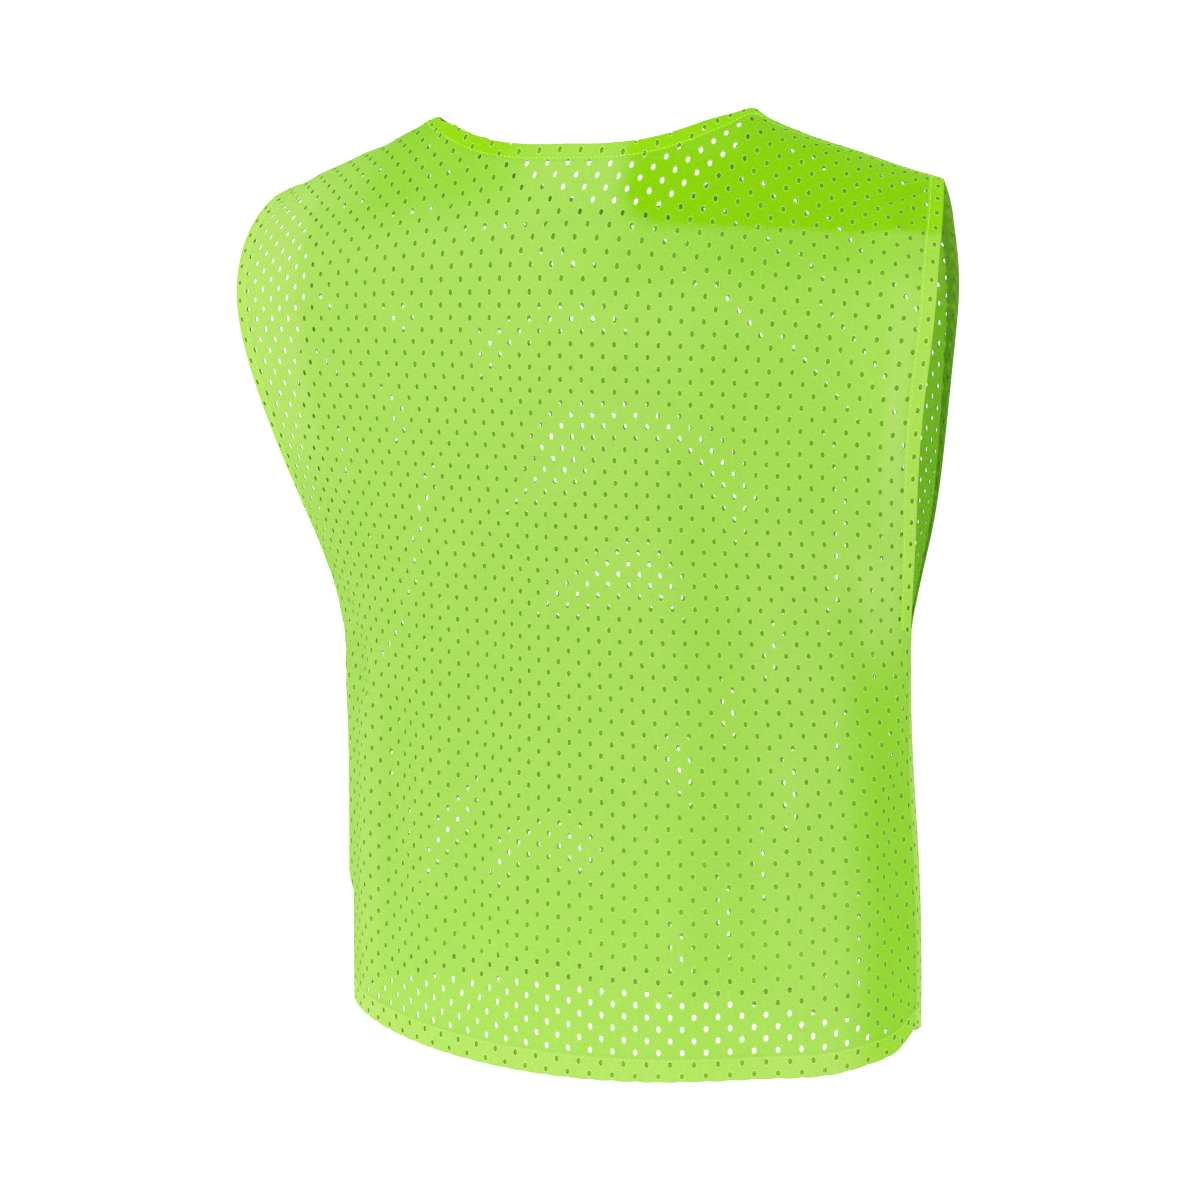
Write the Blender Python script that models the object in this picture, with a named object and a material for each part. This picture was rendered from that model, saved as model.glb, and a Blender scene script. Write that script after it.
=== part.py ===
# Mesh training bib, filled out as it hangs on the shoulders with nobody in it.
# Metres, +Z up. The wearer's front faces -Y and the wearer's left side is +X.
# z = 0 is the height of the high neck points, and x = y = 0 is the middle of the body tube.
#
# Each panel is one sheet of knit. A place on it is given as on the cutting table:
# across, from 0 at its middle to 1 at its side edge, and up, in metres from its hem.

import math
from collections import namedtuple

import bmesh
import bpy
import numpy as np

# Sizes
CLOTH = 0.0015
TURNED_CLOTH = 0.0012
SEAM_GAP = 0.0003
PANEL_HALF_WIDTH = 0.255
NECK_HALF_WIDTH = 0.121
BOTTOM_HEM = 0.015
ARMHOLE_HEM = 0.010
NECK_HEM = 0.010
SHOULDER_SEAM_WIDTH = 0.012
SIDE_LEAN = 0.020  # rise for each metre towards the wearer's left, which hangs a little higher

# How finely the panels are divided
SIDE_COLUMNS = 8
NECK_COLUMNS = 18
LOWER_ROWS = 13
UPPER_ROWS = 16
ARC_STEPS = 64
FOLD_STEPS = 24
SLOPE_STEP = 0.001  # to each side of a point, for the direction of its surface
SEAM_PULL = 6  # power of across: how near the side edge the cloth is drawn to the shared seam
SEAM_FADE = 0.020  # run over which folds fade out towards a seam
TINY = 1e-9

# A level section of a panel: an arc from its middle to its edge, with the places of both.
# bend is how many degrees it turns, and peak how sharply its middle stands over its edges.
Section = namedtuple("Section", "centre_y centre_z edge_x edge_y edge_z bend peak")

# From the hem up to the shoulder seam. The fourth is at the underarm, where the side seam ends.
BACK_SECTIONS = [
    Section(0.1230, -0.6315, 0.2085, 0.0000, -0.6125, 90, 3.0),
    Section(0.1200, -0.5200, 0.2080, 0.0024, -0.5100, 90, 3.0),
    Section(0.1185, -0.4250, 0.2058, 0.0100, -0.4200, 90, 3.0),
    Section(0.1195, -0.3380, 0.2132, 0.0288, -0.3340, 80, 3.0),
    Section(0.1225, -0.2720, 0.2258, 0.0560, -0.2700, 70, 3.0),
    Section(0.1265, -0.2000, 0.2400, 0.0860, -0.2000, 62, 3.0),
    Section(0.1280, -0.1300, 0.2520, 0.0985, -0.1350, 60, 2.0),
    Section(0.1190, -0.0700, 0.2527, 0.0920, -0.0950, 58, 1.0),
    Section(0.0975, -0.0190, 0.2480, 0.0720, -0.0640, 50, 0.5),
    Section(0.0790, 0.0140, 0.2405, 0.0500, -0.0490, 47, 0.35),
    Section(0.0660, 0.0218, 0.2365, 0.0390, -0.0463, 45, 0.3),
]
FRONT_SECTIONS = [
    Section(-0.1120, -0.6235, 0.2085, 0.0000, -0.6125, 90, 3.0),
    Section(-0.1080, -0.5150, 0.2080, 0.0024, -0.5100, 90, 3.0),
    Section(-0.1020, -0.4200, 0.2058, 0.0100, -0.4200, 88, 3.0),
    Section(-0.0940, -0.3340, 0.2132, 0.0288, -0.3340, 82, 3.0),
    Section(-0.0840, -0.2700, 0.2273, 0.0300, -0.2700, 76, 3.0),
    Section(-0.0680, -0.2000, 0.2386, 0.0380, -0.2100, 68, 3.0),
    Section(-0.0480, -0.1400, 0.2420, 0.0320, -0.1550, 60, 2.0),
    Section(-0.0180, -0.0830, 0.2422, 0.0235, -0.1100, 52, 1.0),
    Section(0.0220, -0.0240, 0.2400, 0.0270, -0.0740, 48, 0.5),
    Section(0.0510, 0.0140, 0.2380, 0.0335, -0.0545, 46, 0.35),
    Section(0.0660, 0.0218, 0.2365, 0.0390, -0.0463, 45, 0.3),
]
UNDERARM_SECTION = 3

# The neckline falls by drop at its middle, and power says how flat it is there.
Neckline = namedtuple("Neckline", "drop power")
BACK_NECK = Neckline(0.050, 2.75)
FRONT_NECK = Neckline(0.082, 2.4)

# A soft fold: a curve by three places on the flat panel, in metres from its middle and from its hem,
# how far it reaches to each side, and its height, which is below zero for a trough.
Fold = namedtuple("Fold", "start_x start_up mid_x mid_up end_x end_up reach height")

BACK_FOLDS = [
    Fold(0.036, 0.345, 0.085, 0.200, 0.060, 0.035, 0.022, -0.0050),
    Fold(-0.105, 0.370, -0.140, 0.230, -0.118, 0.015, 0.022, -0.0050),
    Fold(-0.090, 0.150, -0.075, 0.080, -0.085, 0.000, 0.024, 0.0025),
    Fold(-0.245, 0.255, -0.190, 0.150, -0.200, 0.010, 0.018, 0.0045),
    Fold(-0.236, 0.180, -0.226, 0.090, -0.232, 0.000, 0.015, -0.0040),
    Fold(0.170, 0.235, 0.168, 0.110, 0.170, 0.000, 0.016, 0.0045),
    Fold(0.136, 0.215, 0.130, 0.110, 0.140, 0.010, 0.015, -0.0040),
    Fold(0.240, 0.318, 0.205, 0.285, 0.175, 0.225, 0.014, -0.0040),
    Fold(0.215, 0.250, 0.212, 0.170, 0.220, 0.080, 0.016, 0.0030),
    Fold(-0.050, 0.465, -0.100, 0.430, -0.150, 0.375, 0.018, -0.0030),
    Fold(-0.222, 0.580, -0.240, 0.450, -0.222, 0.300, 0.018, 0.0040),
    Fold(-0.060, 0.553, -0.150, 0.548, -0.225, 0.572, 0.020, -0.0030),
    Fold(0.060, 0.560, 0.140, 0.556, 0.215, 0.575, 0.022, -0.0022),
    Fold(0.000, 0.545, -0.010, 0.480, 0.000, 0.400, 0.050, 0.0035),
]
FRONT_FOLDS = [
    Fold(0.070, 0.400, 0.095, 0.250, 0.070, 0.040, 0.024, -0.0050),
    Fold(-0.055, 0.360, -0.090, 0.190, -0.075, 0.020, 0.022, -0.0045),
    Fold(0.160, 0.200, 0.175, 0.100, 0.165, 0.000, 0.017, 0.0045),
    Fold(-0.150, 0.250, -0.165, 0.120, -0.160, 0.000, 0.018, 0.0040),
    Fold(0.232, 0.300, 0.205, 0.235, 0.215, 0.120, 0.016, -0.0035),
    Fold(-0.238, 0.310, -0.195, 0.260, -0.150, 0.180, 0.016, -0.0040),
    Fold(-0.130, 0.540, -0.080, 0.470, -0.020, 0.430, 0.022, -0.0030),
    Fold(0.140, 0.545, 0.095, 0.465, 0.035, 0.420, 0.020, -0.0025),
    Fold(0.215, 0.560, 0.232, 0.450, 0.210, 0.330, 0.018, 0.0035),
    Fold(0.000, 0.170, 0.012, 0.080, 0.004, 0.000, 0.026, 0.0030),
]

# Panel: its sections, neckline and folds, and which way it lies from the seams: 1 behind, -1 in front.
Panel = namedtuple("Panel", "name sections neckline folds facing")
PANELS = [
    Panel("back", BACK_SECTIONS, BACK_NECK, BACK_FOLDS, 1),
    Panel("front", FRONT_SECTIONS, FRONT_NECK, FRONT_FOLDS, -1),
]

# Shared direction of both walls at the shoulder seam, where its slope makes it lean outwards
SHOULDER_LEAN = 0.355

# Colours, red green blue from 0 to 255
PANEL_COLOUR = (172, 228, 94)
HEM_COLOUR = (149, 215, 40)
KNIT_ROUGHNESS = 0.8
SMOOTH_ANGLE = math.radians(40)


def section_curve(section):
    """Points of a section from its middle to its edge, and how far along it each lies."""
    bend = math.radians(section.bend)
    turn = np.linspace(0, bend, ARC_STEPS + 1)
    sideways = np.sin(turn) / math.sin(bend)
    inward = (np.cos(turn) - math.cos(bend)) / (1 - math.cos(bend))
    fall = (np.hypot(section.peak, sideways) - section.peak) / (math.hypot(section.peak, 1) - section.peak)
    points = np.stack(
        [
            section.edge_x * sideways,
            section.edge_y + (section.centre_y - section.edge_y) * inward,
            section.centre_z + (section.edge_z - section.centre_z) * fall,
        ],
        axis=1,
    )
    steps = np.linalg.norm(np.diff(points, axis=0), axis=1)
    return points, np.concatenate([[0], np.cumsum(steps)])


def along_section(section, across):
    """Points of a section at even shares of its length, to both sides of its middle."""
    points, run = section_curve(section)
    at = np.abs(across) * run[-1]
    found = np.stack([np.interp(at, run, points[:, axis]) for axis in range(3)], axis=1)
    found[:, 0] *= np.sign(across)
    return found


def section_heights(sections):
    """How far up the cloth each section lies: the mean run of its middle, quarter and edge."""
    places = np.array([along_section(section, np.array([0, 0.5, 1.0])) for section in sections])
    steps = np.linalg.norm(np.diff(places, axis=0), axis=2).mean(axis=1)
    return np.concatenate([[0], np.cumsum(steps)])


def spline_shares(knots, at):
    """Share of each knot in a natural cubic spline at the places at, a row for each place."""
    count = len(knots)
    gaps = np.diff(knots)
    matrix = np.eye(count)
    bends = np.zeros((count, count))
    for i in range(1, count - 1):
        matrix[i, i - 1 : i + 2] = gaps[i - 1], 2 * (gaps[i - 1] + gaps[i]), gaps[i]
        bends[i, i - 1 : i + 2] = 6 / gaps[i - 1], -6 / gaps[i - 1] - 6 / gaps[i], 6 / gaps[i]
    curvature = np.linalg.solve(matrix, bends)
    values = np.eye(count)
    low = np.clip(np.searchsorted(knots, at, side="right") - 1, 0, count - 2)
    gap = gaps[low][:, None]
    after = (at - knots[low])[:, None]
    before = gap - after
    shares = curvature[low] * (before**3 / (6 * gap) - before * gap / 6)
    shares += curvature[low + 1] * (after**3 / (6 * gap) - after * gap / 6)
    return shares + values[low] * before / gap + values[low + 1] * after / gap


def smooth_cloth(panel, across, up):
    """Places on a panel before its folds. Below the underarm its edges keep to the shared side seam."""
    heights = section_heights(panel.sections)
    curves = np.array([along_section(section, across) for section in panel.sections])
    points = np.einsum("nk,knc->nc", spline_shares(heights, up), curves)
    side = np.array([along_section(section, np.sign(across)) for section in panel.sections])
    own_edge = np.einsum("nk,knc->nc", spline_shares(heights, up), side)
    seam = slice(0, UNDERARM_SECTION + 1)
    shared_edge = np.einsum("nk,knc->nc", spline_shares(heights[seam], up), side[seam])
    pull = np.where(up < heights[UNDERARM_SECTION], np.abs(across) ** SEAM_PULL, 0)
    return points + pull[:, None] * (shared_edge - own_edge)


def outward(panel, across, up):
    """Directions that point out of the bib."""
    step = SLOPE_STEP / PANEL_HALF_WIDTH
    sideways = smooth_cloth(panel, across + step, up) - smooth_cloth(panel, across - step, up)
    upwards = smooth_cloth(panel, across, up + SLOPE_STEP) - smooth_cloth(panel, across, up - SLOPE_STEP)
    normals = np.cross(upwards, sideways) * panel.facing
    return normals / np.linalg.norm(normals, axis=1)[:, None]


def fold_height(panel, across, up):
    """How far the folds lift the cloth. They fade out at the side and shoulder seams."""
    x = across * PANEL_HALF_WIDTH
    top = section_heights(panel.sections)[-1]
    total = np.zeros(len(x))
    share = np.linspace(0, 1, FOLD_STEPS + 1)
    for fold in panel.folds:
        weights = np.stack([(1 - share) ** 2, 2 * share * (1 - share), share**2])
        curve_x = np.array([fold.start_x, fold.mid_x, fold.end_x]) @ weights
        curve_up = np.array([fold.start_up, fold.mid_up, fold.end_up]) @ weights
        distance = np.hypot(x[:, None] - curve_x, up[:, None] - curve_up)
        nearest = distance.argmin(axis=1)
        ends = np.where(fold.end_up < SEAM_FADE, 1 - share, np.sqrt(share * (1 - share)) * 2)
        strength = np.minimum(1, ends * 2)[nearest]
        total += fold.height * strength * np.exp(-((distance.min(axis=1) / fold.reach) ** 2))
    to_side = (1 - np.abs(across)) * PANEL_HALF_WIDTH
    fade = np.clip(to_side / SEAM_FADE, 0, 1) * np.clip((top - up) / SEAM_FADE, 0, 1)
    return total * fade * fade * (3 - 2 * fade)


def panel_layout(panel):
    """Rows and columns of a panel on the flat: across and up of each point.

    The first row of faces is the bottom hem, the last under the neck is the neck hem,
    and the first and last columns of faces above the underarm are the armhole hems.
    """
    neck = NECK_HALF_WIDTH / PANEL_HALF_WIDTH
    hem = 1 - ARMHOLE_HEM / PANEL_HALF_WIDTH
    outer = np.linspace(neck, hem, SIDE_COLUMNS + 1)
    right = np.concatenate([np.linspace(0, neck, NECK_COLUMNS // 2 + 1), outer[1:], [1.0]])
    columns = np.concatenate([-right[:0:-1], right])
    heights = section_heights(panel.sections)
    inside = np.clip(np.abs(columns) / neck, 0, 1)
    drop, power = panel.neckline
    top = heights[-1] - drop * (1 - inside**power)
    slope = drop * power * inside ** (power - 1) / NECK_HALF_WIDTH
    under_neck = NECK_HEM * np.hypot(1, slope)
    last = np.where(np.abs(columns) < neck + TINY, under_neck, SHOULDER_SEAM_WIDTH)
    underarm = heights[UNDERARM_SECTION]
    lower = np.linspace(BOTTOM_HEM, underarm, LOWER_ROWS + 1)
    rows = [np.zeros(len(columns))] + [np.full(len(columns), up) for up in lower]
    for row in range(1, UPPER_ROWS + 1):
        rows.append(underarm + (top - last - underarm) * row / UPPER_ROWS)
    rows.append(top)
    up = np.array(rows)
    return np.broadcast_to(columns, up.shape), up


def panel_points(panel):
    """Outer points of a panel's grid, and the direction and length of one wall thickness at each."""
    across, up = panel_layout(panel)
    shape = across.shape
    flat_across = across.ravel()
    flat_up = up.ravel()
    normals = outward(panel, flat_across, flat_up)
    points = smooth_cloth(panel, flat_across, flat_up)
    points += normals * fold_height(panel, flat_across, flat_up)[:, None]
    points = points.reshape(shape + (3,))
    normals = normals.reshape(shape + (3,))
    heights = section_heights(panel.sections)
    neck = NECK_HALF_WIDTH / PANEL_HALF_WIDTH

    # At a seam both walls share one direction, so their ends face each other across the gap.
    side = np.sign(across)
    side_seam = (np.abs(across) > 1 - TINY) & (up < heights[UNDERARM_SECTION] + TINY)
    shoulder_seam = (np.abs(across) > neck - TINY) & (up > heights[-1] - TINY)
    side_way = np.stack([side, 0 * side, 0 * side], axis=-1)
    shoulder_way = np.stack([side * SHOULDER_LEAN, 0 * side, 0 * side + 1], axis=-1)
    shoulder_way /= math.hypot(SHOULDER_LEAN, 1)
    for seam, way in ((side_seam, side_way), (shoulder_seam, shoulder_way)):
        mitre = (normals[seam] * way[seam]).sum(axis=1)
        normals[seam] = way[seam] / mitre[:, None]
    points[side_seam | shoulder_seam, 1] += panel.facing * SEAM_GAP / 2
    return points, normals


def lean(points):
    """The whole bib hangs a little higher on one side."""
    leaned = points.copy()
    leaned[..., 2] += SIDE_LEAN * points[..., 0]
    return leaned


def add_wall(name, outer, inner, facing, material):
    """A closed wall between two grids of points, as one object."""
    rows, columns = outer.shape[:2]
    mesh = bmesh.new()
    grids = []
    for layer in (outer, inner):
        grids.append([[mesh.verts.new(point) for point in row] for row in lean(layer)])
    for grid, turned in zip(grids, (facing > 0, facing < 0)):
        for r in range(rows - 1):
            for c in range(columns - 1):
                near, far = grid[r][c], grid[r + 1][c + 1]
                for corners in ([near, grid[r][c + 1], far], [near, far, grid[r + 1][c]]):
                    mesh.faces.new(corners[::-1] if turned else corners)
    rim = [(0, c) for c in range(columns - 1)] + [(r, columns - 1) for r in range(rows - 1)]
    rim += [(rows - 1, c) for c in range(columns - 1, 0, -1)] + [(r, 0) for r in range(rows - 1, 0, -1)]
    for (r, c), (next_r, next_c) in zip(rim, rim[1:] + rim[:1]):
        corners = [grids[0][r][c], grids[1][r][c], grids[1][next_r][next_c], grids[0][next_r][next_c]]
        mesh.faces.new(corners[::-1] if facing > 0 else corners)
    mesh.normal_update()
    data = bpy.data.meshes.new(name)
    mesh.to_mesh(data)
    mesh.free()
    data.shade_smooth()
    data.set_sharp_from_angle(angle=SMOOTH_ANGLE)
    piece = bpy.data.objects.new(name, data)
    piece.data.materials.append(material)
    bpy.context.scene.collection.objects.link(piece)
    return piece


def linear(channel):
    share = channel / 255
    return share / 12.92 if share <= 0.04045 else ((share + 0.055) / 1.055) ** 2.4


def knit_material(name, colour):
    material = bpy.data.materials.new(name)
    material.use_nodes = True
    shader = material.node_tree.nodes["Principled BSDF"]
    shader.inputs["Base Color"].default_value = [linear(channel) for channel in colour] + [1]
    shader.inputs["Roughness"].default_value = KNIT_ROUGHNESS
    shader.inputs["Metallic"].default_value = 0
    return material


def add_panel(panel, points, normals):
    material = knit_material(panel.name + "_panel_knit", PANEL_COLOUR)
    add_wall(panel.name + "_panel", points, points - normals * CLOTH, panel.facing, material)


def add_hem(panel, name, points, normals):
    """A turned hem: a strip of the panel's own points, moved inside it."""
    under = CLOTH + SEAM_GAP
    material = knit_material(name + "_knit", HEM_COLOUR)
    add_wall(
        name, points - normals * under, points - normals * (under + TURNED_CLOTH), panel.facing, material
    )


def add_hems(panel, points, normals):
    neck_start = SIDE_COLUMNS + 1
    neck_end = neck_start + NECK_COLUMNS + 1
    underarm_row = LOWER_ROWS + 1
    strips = {
        "bottom_hem": (slice(0, 2), slice(None)),
        "neck_hem": (slice(-2, None), slice(neck_start, neck_end)),
        "right_armhole_hem": (slice(underarm_row, None), slice(0, 2)),
        "left_armhole_hem": (slice(underarm_row, None), slice(-2, None)),
    }
    for name, part in strips.items():
        add_hem(panel, panel.name + "_" + name, points[part], normals[part])


def main():
    for thing in list(bpy.data.objects):
        bpy.data.objects.remove(thing, do_unlink=True)
    for panel in PANELS:
        points, normals = panel_points(panel)
        add_panel(panel, points, normals)
        add_hems(panel, points, normals)


main()
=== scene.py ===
import math
from collections import namedtuple

import bmesh
import bpy
import numpy as np
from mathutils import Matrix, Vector


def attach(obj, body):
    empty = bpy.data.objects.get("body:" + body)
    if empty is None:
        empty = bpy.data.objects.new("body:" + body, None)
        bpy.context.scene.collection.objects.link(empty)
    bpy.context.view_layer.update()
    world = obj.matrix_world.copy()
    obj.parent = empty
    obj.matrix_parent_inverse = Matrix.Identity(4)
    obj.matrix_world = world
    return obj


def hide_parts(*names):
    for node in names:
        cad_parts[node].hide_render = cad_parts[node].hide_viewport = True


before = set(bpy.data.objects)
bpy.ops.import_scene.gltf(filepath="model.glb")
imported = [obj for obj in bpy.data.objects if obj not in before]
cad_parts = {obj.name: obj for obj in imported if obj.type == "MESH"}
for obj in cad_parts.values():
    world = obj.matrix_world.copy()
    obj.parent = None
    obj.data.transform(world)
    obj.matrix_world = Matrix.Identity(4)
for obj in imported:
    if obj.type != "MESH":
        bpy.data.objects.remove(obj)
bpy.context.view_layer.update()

# Mesh training bib of lime green knit, filled out as it hangs on the shoulders with nobody in it.
# Metres, +Z up, the wearer's front faces -Y and the wearer's left side is +X.
# A place on a panel is given as on the cutting table: across, from 0 at its middle to 1 at its
# side edge, and up, in metres from its hem. x on the flat is across times the half width.

cut = {
    "halfWidth": 0.255,
    "neckHalfWidth": 0.121,
    "bottomHem": 0.015,
    "armholeHem": 0.010,
    "neckHem": 0.010,
    "neckSteps": 461,
    "pastNeck": 1.15,  # how far the neck curve is followed past its ends
    "sideLean": 0.020,  # the left side hangs a little higher
    "seamPull": 6,
    "seamFade": 0.020,
    "underarmSection": 3,
}

cloth = {
    "thick": 0.0006,
    "layerSpace": 0.0003,  # air between a panel and its turned hem
    "foldSteps": 24,
    "arcSteps": 64,
    "slopeStep": 0.001,
    "sharpAngle": 50,
    "snap": 0.00015,  # a vert this near a cut line lies on it
}

knit = {
    "pitch": 0.015,  # from hole to hole in a row, and from one row to the next but one
    "holeWidth": 0.0028,
    "holeHeight": 0.0039,
    "holeSides": 8,
    "start": 0.25,  # first hole, in pitches from the middle and the hem, so that hems cover holes
}

Section = namedtuple("Section", "centreY centreZ edgeX edgeY edgeZ bend peak")
backSections = [
    Section(0.1230, -0.6315, 0.2085, 0.0000, -0.6125, 90, 3.0),
    Section(0.1200, -0.5200, 0.2080, 0.0024, -0.5100, 90, 3.0),
    Section(0.1185, -0.4250, 0.2058, 0.0100, -0.4200, 90, 3.0),
    Section(0.1195, -0.3380, 0.2132, 0.0288, -0.3340, 80, 3.0),
    Section(0.1225, -0.2720, 0.2258, 0.0560, -0.2700, 70, 3.0),
    Section(0.1265, -0.2000, 0.2400, 0.0860, -0.2000, 62, 3.0),
    Section(0.1280, -0.1300, 0.2520, 0.0985, -0.1350, 60, 2.0),
    Section(0.1190, -0.0700, 0.2527, 0.0920, -0.0950, 58, 1.0),
    Section(0.0975, -0.0190, 0.2480, 0.0720, -0.0640, 50, 0.5),
    Section(0.0790, 0.0140, 0.2405, 0.0500, -0.0490, 47, 0.35),
    Section(0.0660, 0.0218, 0.2365, 0.0390, -0.0463, 45, 0.3),
]
frontSections = [
    Section(-0.1120, -0.6235, 0.2085, 0.0000, -0.6125, 90, 3.0),
    Section(-0.1080, -0.5150, 0.2080, 0.0024, -0.5100, 90, 3.0),
    Section(-0.1020, -0.4200, 0.2058, 0.0100, -0.4200, 88, 3.0),
    Section(-0.0940, -0.3340, 0.2132, 0.0288, -0.3340, 82, 3.0),
    Section(-0.0840, -0.2700, 0.2273, 0.0300, -0.2700, 76, 3.0),
    Section(-0.0680, -0.2000, 0.2386, 0.0380, -0.2100, 68, 3.0),
    Section(-0.0480, -0.1400, 0.2420, 0.0320, -0.1550, 60, 2.0),
    Section(-0.0180, -0.0830, 0.2422, 0.0235, -0.1100, 52, 1.0),
    Section(0.0220, -0.0240, 0.2400, 0.0270, -0.0740, 48, 0.5),
    Section(0.0510, 0.0140, 0.2380, 0.0335, -0.0545, 46, 0.35),
    Section(0.0660, 0.0218, 0.2365, 0.0390, -0.0463, 45, 0.3),
]

Fold = namedtuple("Fold", "startX startUp midX midUp endX endUp reach height")
backFolds = [
    Fold(0.036, 0.345, 0.085, 0.200, 0.060, 0.035, 0.022, -0.0050),
    Fold(-0.105, 0.370, -0.140, 0.230, -0.118, 0.015, 0.022, -0.0050),
    Fold(-0.090, 0.150, -0.075, 0.080, -0.085, 0.000, 0.024, 0.0025),
    Fold(-0.245, 0.255, -0.190, 0.150, -0.200, 0.010, 0.018, 0.0045),
    Fold(-0.236, 0.180, -0.226, 0.090, -0.232, 0.000, 0.015, -0.0040),
    Fold(0.170, 0.235, 0.168, 0.110, 0.170, 0.000, 0.016, 0.0045),
    Fold(0.136, 0.215, 0.130, 0.110, 0.140, 0.010, 0.015, -0.0040),
    Fold(0.240, 0.318, 0.205, 0.285, 0.175, 0.225, 0.014, -0.0040),
    Fold(0.215, 0.250, 0.212, 0.170, 0.220, 0.080, 0.016, 0.0030),
    Fold(-0.050, 0.465, -0.100, 0.430, -0.150, 0.375, 0.018, -0.0030),
    Fold(-0.222, 0.580, -0.240, 0.450, -0.222, 0.300, 0.018, 0.0040),
    Fold(-0.060, 0.553, -0.150, 0.548, -0.225, 0.572, 0.020, -0.0030),
    Fold(0.060, 0.560, 0.140, 0.556, 0.215, 0.575, 0.022, -0.0022),
    Fold(0.000, 0.545, -0.010, 0.480, 0.000, 0.400, 0.050, 0.0035),
]
frontFolds = [
    Fold(0.070, 0.400, 0.095, 0.250, 0.070, 0.040, 0.024, -0.0050),
    Fold(-0.055, 0.360, -0.090, 0.190, -0.075, 0.020, 0.022, -0.0045),
    Fold(0.160, 0.200, 0.175, 0.100, 0.165, 0.000, 0.017, 0.0045),
    Fold(-0.150, 0.250, -0.165, 0.120, -0.160, 0.000, 0.018, 0.0040),
    Fold(0.232, 0.300, 0.205, 0.235, 0.215, 0.120, 0.016, -0.0035),
    Fold(-0.238, 0.310, -0.195, 0.260, -0.150, 0.180, 0.016, -0.0040),
    Fold(-0.130, 0.540, -0.080, 0.470, -0.020, 0.430, 0.022, -0.0030),
    Fold(0.140, 0.545, 0.095, 0.465, 0.035, 0.420, 0.020, -0.0025),
    Fold(0.215, 0.560, 0.232, 0.450, 0.210, 0.330, 0.018, 0.0035),
    Fold(0.000, 0.170, 0.012, 0.080, 0.004, 0.000, 0.026, 0.0030),
]
# fine creases that only the knit itself shows: the line pressed down the middle, and short puckers
backCreases = [
    Fold(0.000, 0.585, 0.001, 0.300, -0.001, 0.000, 0.0030, 0.0009),
    Fold(0.246, 0.275, 0.232, 0.262, 0.212, 0.258, 0.0050, -0.0012),
    Fold(0.238, 0.245, 0.226, 0.236, 0.208, 0.236, 0.0045, -0.0010),
    Fold(0.146, 0.205, 0.143, 0.130, 0.146, 0.070, 0.0050, -0.0012),
    Fold(-0.205, 0.215, -0.192, 0.180, -0.188, 0.130, 0.0060, 0.0010),
    Fold(-0.244, 0.614, -0.234, 0.600, -0.218, 0.590, 0.0045, -0.0032),
    Fold(-0.247, 0.600, -0.238, 0.584, -0.228, 0.566, 0.0045, -0.0026),
    Fold(0.244, 0.612, 0.234, 0.600, 0.220, 0.592, 0.0050, -0.0024),
]
frontCreases = [
    Fold(0.000, 0.520, -0.001, 0.300, 0.001, 0.000, 0.0030, 0.0009),
    Fold(-0.244, 0.280, -0.228, 0.266, -0.205, 0.262, 0.0050, -0.0012),
    Fold(0.243, 0.260, 0.230, 0.250, 0.212, 0.250, 0.0050, -0.0011),
]

Panel = namedtuple("Panel", "name sections folds drop power facing")
back = Panel("back", backSections, backFolds + backCreases, 0.050, 2.75, 1)
front = Panel("front", frontSections, frontFolds + frontCreases, 0.082, 2.4, -1)


# how far the sewing pulls the shoulder line and the hem up or down, at x on the flat, and how wide
# the pull is on the back and on the front
Pull = namedtuple("Pull", "x backWide frontWide rise")
shoulderPulls = [
    Pull(0.108, 0.009, 0.009, -0.0020),
    Pull(0.124, 0.006, 0.006, 0.0020),
    Pull(0.162, 0.014, 0.014, -0.0024),
    Pull(0.197, 0.020, 0.020, -0.0016),
    Pull(0.233, 0.012, 0.012, -0.0024),
    Pull(-0.121, 0.009, 0.009, 0.0036),
    Pull(-0.165, 0.024, 0.024, -0.0014),
    Pull(-0.255, 0.020, 0.020, 0.0020),
]
hemPulls = [
    Pull(0.255, 0.020, 0.040, -0.0030),
    Pull(-0.255, 0.018, 0.045, 0.0120),
    Pull(-0.180, 0.034, 0.034, -0.0040),
]
pull = {
    "fromShoulder": 0.050,  # where the pulls die away
    "fromHem": 0.070,
    "notch": 0.0005,  # small rise of the hem's fold below each column of holes
    "notchReach": 0.006,
}


# camera

view = {
    "azimuth": 205,  # from behind, towards the wearer's right
    "distance": 2.10,
    "height": -0.17,
    "imageWidth": 1200,
    "focalPixels": 3076,
    "axisRight": 31,  # pixels from the picture's middle to the bib's upright axis
    "horizonAbove": 230,
    "sensor": 36.0,
    "clipEnd": 100,
}


def addCamera():
    data = bpy.data.cameras.new("camera")
    data.sensor_width = view["sensor"]
    data.lens = view["focalPixels"] / view["imageWidth"] * view["sensor"]
    data.clip_end = view["clipEnd"]
    camera = bpy.data.objects.new("camera", data)
    turn = math.radians(view["azimuth"])
    camera.location = (
        math.sin(turn) * view["distance"],
        -math.cos(turn) * view["distance"],
        view["height"],
    )
    aside = math.atan(view["axisRight"] / view["focalPixels"])
    down = math.atan(view["horizonAbove"] / view["focalPixels"])
    camera.rotation_euler = (math.pi / 2 - down, 0, turn + aside)
    bpy.context.scene.collection.objects.link(camera)
    bpy.context.scene.camera = camera


addCamera()
print("camera placed")


# the shape of the hanging cloth


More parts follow.
